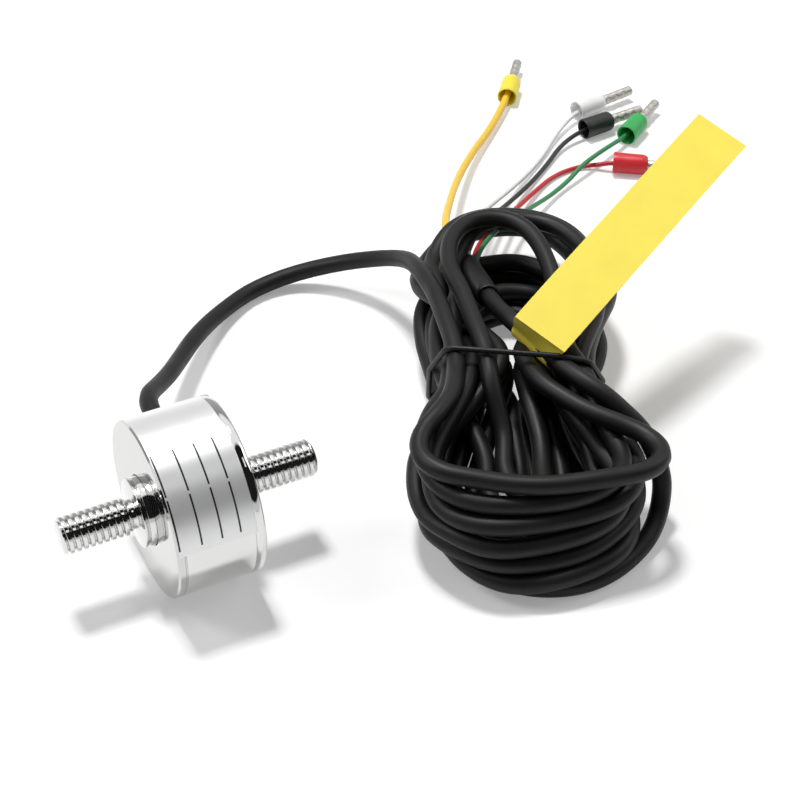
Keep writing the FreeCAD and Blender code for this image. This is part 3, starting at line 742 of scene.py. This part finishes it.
flag = {"crease": (64.8, 0.3, 25.6), "along": (0.883, 0.401, 0.244), "across": (0.468, -0.796, -0.3),
        "length": 57.0, "width": 10.5, "film": 0.14, "gap": 0.09, "slip": 0.5, "rows": 30, "columns": 9,
        "bow": 0.5, "wave": 0.12, "waves": 9.0, "turnMiddle": (66.75, 4.0, 20.35),
        "turnAlong": (0.0995, -0.995, 0.006), "turnRadius": 1.85, "turnAngles": (150, 400, 18),
        "legShares": (0.12, 0.88, 6), "sharp": 50.0}


def unitVector(direction):
    direction = np.array(direction, float)
    return direction / np.linalg.norm(direction)


def flagStations():
    along = unitVector(flag["along"])
    across = np.array(flag["across"])
    across = unitVector(across - along * (across @ along))
    up = np.cross(across, along)
    up = up if up[2] > 0 else -up
    crease, middle = np.array(flag["crease"]), np.array(flag["turnMiddle"])
    turn = unitVector(flag["turnAlong"])
    side = np.array([-turn[1], turn[0], 0.0])
    rise = np.cross(side, turn)
    rise = rise if rise[2] > 0 else -rise
    upper, lower, ring = [], [], []
    for share in np.linspace(1.0, 0.0, flag["rows"]):
        bow = flag["bow"] * math.sin(math.pi * share) + flag["wave"] * math.sin(flag["waves"] * share)
        spot = crease + along * flag["length"] * share + up * bow
        upper.append((spot + up * flag["gap"], across))
        lower.append((spot - up * flag["gap"] + along * flag["slip"] * (1 - share), across))
    for angle in np.radians(np.linspace(*flag["turnAngles"])):
        outward = side * math.cos(angle) + rise * math.sin(angle)
        ring.append((middle + outward * flag["turnRadius"], turn))
    stations = list(upper)
    for legEnd, legStart in ((upper[-1], ring[0]), (ring[-1], lower[-2])):
        leg = []
        for share in np.linspace(*flag["legShares"]):
            eased = share * share * (3 - 2 * share)
            leg.append((legEnd[0] * (1 - share) + legStart[0] * share,
                        unitVector(legEnd[1] * (1 - eased) + legStart[1] * eased)))
        stations += leg + (ring if legEnd is upper[-1] else [])
    return stations + lower[-2::-1]


def flagMesh():
    mesh = bpy.data.meshes.new("wireFlag")
    corners, faces = [], []
    columns = flag["columns"]
    for spot, across in flagStations():
        for column in range(columns):
            reach = flag["width"] * (column / (columns - 1) - 0.5)
            corners.append([c * mm for c in spot + across * reach])
    for row in range(len(corners) // columns - 1):
        for column in range(columns - 1):
            first = row * columns + column
            faces.append((first, first + 1, first + columns + 1, first + columns))
    mesh.from_pydata(corners, [], faces)
    for polygon in mesh.polygons:
        polygon.use_smooth = True
    return mesh


wireFlag = addPiece("wireFlag", flagMesh(), "flag_film", "flag_label")
filmModifier = wireFlag.modifiers.new("film", "SOLIDIFY")
filmModifier.thickness = flag["film"] * mm
filmModifier.offset = 0.0
thickFlag = wireFlag.evaluated_get(bpy.context.evaluated_depsgraph_get())
filmMesh = bpy.data.meshes.new_from_object(thickFlag)
filmMesh.set_sharp_from_angle(angle=math.radians(flag["sharp"]))
wireFlag.modifiers.clear()
wireFlag.data = filmMesh
print("flag folded")


# heat-shrink sleeve, ferrule collars and pins, turned about their own lines

def turnedPiece(name, start, direction, profile, slot, *replaced, around=40, dented=None, sharp=38.0):
    direction = unitVector(direction)
    side = unitVector(np.cross(direction, (0.0, 0.0, 1.0)))
    up = np.cross(side, direction)
    mesh = bpy.data.meshes.new(name)
    corners, faces = [], []
    for distance, radius in profile:
        for k in range(around):
            angle = 2 * math.pi * k / around
            reach = radius if dented is None else dented(distance, radius, angle)
            outward = side * math.cos(angle) + up * math.sin(angle)
            spot = np.array(start) + direction * distance + outward * reach
            corners.append([c * mm for c in spot])
    for row in range(len(profile) - 1):
        for k in range(around):
            after = (k + 1) % around
            near, far = row * around, (row + 1) * around
            faces.append((near + k, near + after, far + after, far + k))
    faces.append(tuple(range(around))[::-1])
    faces.append(tuple((len(profile) - 1) * around + k for k in range(around)))
    mesh.from_pydata(corners, [], faces)
    for polygon in mesh.polygons:
        polygon.use_smooth = len(polygon.vertices) == 4
    mesh.set_sharp_from_angle(angle=math.radians(sharp))
    return addPiece(name, mesh, slot, *replaced)


sleeve = {"start": (67.348, 23.061, 17.705), "along": (0.2569, 0.9276, -0.2712), "profile": [
    (0.3, 1.7), (0.0, 1.78), (0.0, 2.02), (0.25, 2.16), (0.7, 2.2), (2.5, 2.16), (4.5, 2.2), (6.8, 2.14),
    (9.0, 2.17), (11.5, 2.1), (14.0, 2.13), (16.3, 2.08), (16.9, 2.1), (17.2, 2.06), (17.2, 1.9),
    (16.4, 1.86), (15.4, 1.84), (15.2, 1.2)]}
shrinkSleeve = turnedPiece("shrinkSleeve", sleeve["start"], sleeve["along"], sleeve["profile"], "heat_shrink",
                           "heat_shrink_sleeve")

collar = {"height": 2.25, "profile": [
    (5.4, 0.6), (5.4, 1.3), (4.6, 1.62), (0.5, 1.82), (0.08, 1.92), (0.0, 2.02), (0.0, 2.12), (0.1, 2.22),
    (0.35, 2.25), (1.2, 2.2), (3.6, 2.17), (6.0, 2.17), (6.5, 2.12), (7.0, 1.9), (7.25, 1.6), (7.3, 1.45),
    (7.3, 1.0)]}
ferrules = {
    "white": {"mouth": (127.8, 93.2), "along": (0.988, 0.155)},
    "black": {"mouth": (125.4, 85.9), "along": (0.995, 0.099)},
    "red": {"mouth": (124.3, 71.6), "along": (0.82, -0.572)},
    "green": {"mouth": (132.4, 79.6), "along": (0.83, 0.558)},
    "shield": {"mouth": (116.9, 105.2), "along": (0.609, 0.793)}}
pin = {"dents": (8.6, 10.8, 13.0), "dentHalf": 0.62, "depth": 0.34, "pressedFrom": 0.9, "steep": 1.6,
       "bulge": 0.06, "leastCosine": 0.35, "around": 32,
       "base": [(5.5, 0.5), (5.5, 1.05)],
       "barrel": [(7.3 + 0.16 * k, 1.05) for k in range(50)],
       "mouth": [(15.4, 1.03), (15.5, 0.98), (15.5, 0.82), (14.6, 0.8), (14.5, 0.2)]}


def pinDent(distance, radius, angle):
    # three presses from both sides flatten the tube
    if radius < pin["pressedFrom"]:
        return radius
    press = max(0.0, 1.0 - min(abs(distance - place) for place in pin["dents"]) / pin["dentHalf"])
    press = min(1.0, pin["steep"] * press)
    flat = (radius - pin["depth"] * press) / max(abs(math.cos(angle)), pin["leastCosine"])
    return min(radius + pin["bulge"] * press * abs(math.sin(angle)), flat)


pinProfile = pin["base"] + pin["barrel"] + pin["mouth"]
for name, ferrule in ferrules.items():
    start = (*ferrule["mouth"], collar["height"])
    towards = (*ferrule["along"], 0.0)
    barrel = turnedPiece("ferruleCollar_" + name, start, towards, collar["profile"], "collar_" + name,
                         "ferrule_collar_" + name)
    tube = turnedPiece("ferrulePin_" + name, start, towards, pinProfile, "tinned_copper",
                       "ferrule_pin_" + name, dented=pinDent, around=pin["around"])
for name, wire in wirePieces.items():
    lineLength(splineLine(wire))
print("sleeve and ferrules made")


# floor, backdrop and light

# bands run over from the front horizon, 0, to the back one, 1; the small white card shows in the studs
studio = {
    "floor": 0.80, "lift": 0.24, "floorHalf": 6.0, "floorDrop": 0.00005, "world": 0.24, "bandLevel": 1.15,
    "bands": [(0.0, 0.70), (0.05, 0.60), (0.07, 0.012), (0.47, 0.012), (0.50, 1.0), (0.74, 1.0), (0.77, 0.33),
              (1.0, 0.5)],
    "cardAcross": (0.22, 0.16), "cardHigh": (0.345, 0.035), "aim": (0.05, 0.02, 0.01)}
white = (1.0, 1.0, 1.0)


def floorFinish():
    # plain paint, lifted a little where the camera sees it, directly or in a surface
    material = bpy.data.materials.new("studioFloor")
    material.use_nodes = True
    sheet = NodeSheet(material.node_tree)
    sheet.tree.nodes.clear()
    output = sheet.add("ShaderNodeOutputMaterial")
    paint = sheet.add("ShaderNodeBsdfDiffuse")
    paint.inputs["Color"].default_value = (studio["floor"],) * 3 + (1.0,)
    glow = sheet.add("ShaderNodeEmission")
    path = sheet.add("ShaderNodeLightPath").outputs
    seen = sheet.maths("MAXIMUM", path["Is Camera Ray"], path["Is Glossy Ray"])
    seen = sheet.maths("MAXIMUM", seen, path["Is Transmission Ray"])
    sheet.link(sheet.maths("MULTIPLY", seen, studio["lift"]), glow.inputs["Strength"])
    both = sheet.add("ShaderNodeAddShader")
    sheet.link(paint.outputs[0], both.inputs[0])
    sheet.link(glow.outputs[0], both.inputs[1])
    sheet.link(both.outputs[0], output.inputs["Surface"])
    return material


floorHalf = studio["floorHalf"]
floorCorners = [(x * floorHalf, y * floorHalf, 0) for x, y in ((-1, -1), (1, -1), (1, 1), (-1, 1))]
floorMesh = bpy.data.meshes.new("studioFloor")
floorMesh.from_pydata(floorCorners, [], [(0, 1, 2, 3)])
floorMesh.materials.append(floorFinish())
studioFloor = bpy.data.objects.new("studioFloor", floorMesh)
studioFloor.location = (0.0, 0.0, -studio["floorDrop"])
bpy.context.scene.collection.objects.link(studioFloor)


def roomBackground(sheet, colour, strength):
    node = sheet.add("ShaderNodeBackground")
    if isinstance(colour, tuple):
        node.inputs["Color"].default_value = (*colour, 1.0)
    else:
        sheet.link(colour, node.inputs["Color"])
    node.inputs["Strength"].default_value = strength
    return node.outputs[0]


def roomMix(sheet, share, first, second):
    node = sheet.add("ShaderNodeMixShader")
    sheet.link(share, node.inputs["Fac"])
    sheet.link(first, node.inputs[1])
    sheet.link(second, node.inputs[2])
    return node.outputs[0]


def roomWorld():
    # even light, grey bands and the card for reflections, white for the camera
    world = bpy.data.worlds.new("studioWorld")
    world.use_nodes = True
    sheet = NodeSheet(world.node_tree)
    sheet.tree.nodes.clear()
    output = sheet.add("ShaderNodeOutputWorld")
    parts = sheet.split(sheet.add("ShaderNodeTexCoord").outputs["Generated"])
    rise = sheet.maths("ARCTAN2", parts["Z"], sheet.maths("MULTIPLY", parts["Y"], -1.0))
    over = sheet.maths("DIVIDE", rise, math.pi)
    rampNode = sheet.add("ShaderNodeValToRGB")
    ramp = rampNode.color_ramp
    while len(ramp.elements) < len(studio["bands"]):
        ramp.elements.new(0.5)
    for element, (position, level) in zip(ramp.elements, studio["bands"]):
        element.position = position
        element.color = (level, level, level, 1.0)
    sheet.link(over, rampNode.inputs["Fac"])
    card = sheet.maths("MULTIPLY", sheet.maths("COMPARE", parts["X"], *studio["cardAcross"]),
                       sheet.maths("COMPARE", over, *studio["cardHigh"]))
    reflected = sheet.over(card, rampNode.outputs["Color"], white)
    path = sheet.add("ShaderNodeLightPath").outputs
    room = roomMix(sheet, path["Is Glossy Ray"], roomBackground(sheet, white, studio["world"]),
                   roomBackground(sheet, reflected, studio["bandLevel"]))
    room = roomMix(sheet, path["Is Camera Ray"], room, roomBackground(sheet, white, 1.0))
    sheet.link(room, output.inputs["Surface"])
    return world


bpy.context.scene.world = roomWorld()

lampSetup = {
    "backLamp": {"place": (0.04, 0.52, 1.60), "size": 0.26, "energy": 20.0},
    "leftLamp": {"place": (-0.80, 0.50, 1.00), "size": 0.45, "energy": 4.5},
    "rightLamp": {"place": (1.10, -0.20, 0.85), "size": 0.60, "energy": 2.6}}
for name, lamp in lampSetup.items():
    lampData = bpy.data.lights.new(name, "AREA")
    lampData.size = lamp["size"]
    lampData.energy = lamp["energy"]
    lampObject = bpy.data.objects.new(name, lampData)
    lampObject.location = lamp["place"]
    towards = Vector(studio["aim"]) - Vector(lamp["place"])
    lampObject.rotation_euler = towards.to_track_quat("-Z", "Y").to_euler()
    bpy.context.scene.collection.objects.link(lampObject)

bpy.context.scene.view_settings.view_transform = "Standard"
print("studio lit")
